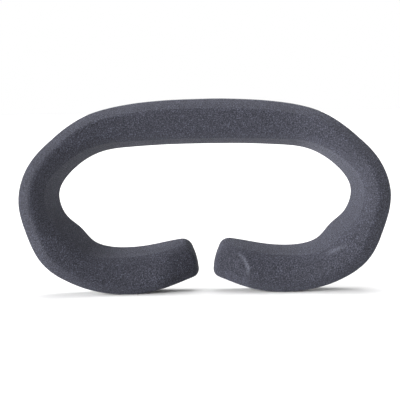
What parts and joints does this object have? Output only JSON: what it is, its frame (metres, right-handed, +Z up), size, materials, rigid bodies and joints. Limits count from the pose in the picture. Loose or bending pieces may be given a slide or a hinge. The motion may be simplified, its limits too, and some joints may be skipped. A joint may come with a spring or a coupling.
{
  "type": "fpv goggles face pad",
  "caption": "Soft foam face pad for FPV goggles: an open ring with a gap for the nose, fabric over foam, flared at the temples, with hook strips on its rear.",
  "frame": {"origin": "on the ground under the middle of the pad, as it stands on its two lower lobes", "axes": "+X across the face, towards the wearer's right; +Y from the face to the goggles; +Z up"},
  "size_m": [0.1724, 0.0351, 0.091],
  "materials": {
    "cover_fabric": "matt fine-grained moulded fabric, slate grey",
    "foam": "open-cell foam, dark grey",
    "liner_felt": "thin black felt",
    "hook_tape": "black nylon hook tape"
  },
  "bodies": {
    "root": {"face_cover": "cover_fabric", "foam_core": "foam", "rear_liner": "liner_felt", "brow_fastener": "hook_tape", "temple_fastener_right": "hook_tape", "temple_fastener_left": "hook_tape", "cheek_fastener_right": "hook_tape", "cheek_fastener_left": "hook_tape", "nose_fastener_right": "hook_tape", "nose_fastener_left": "hook_tape"}
  },
  "joints": []
}
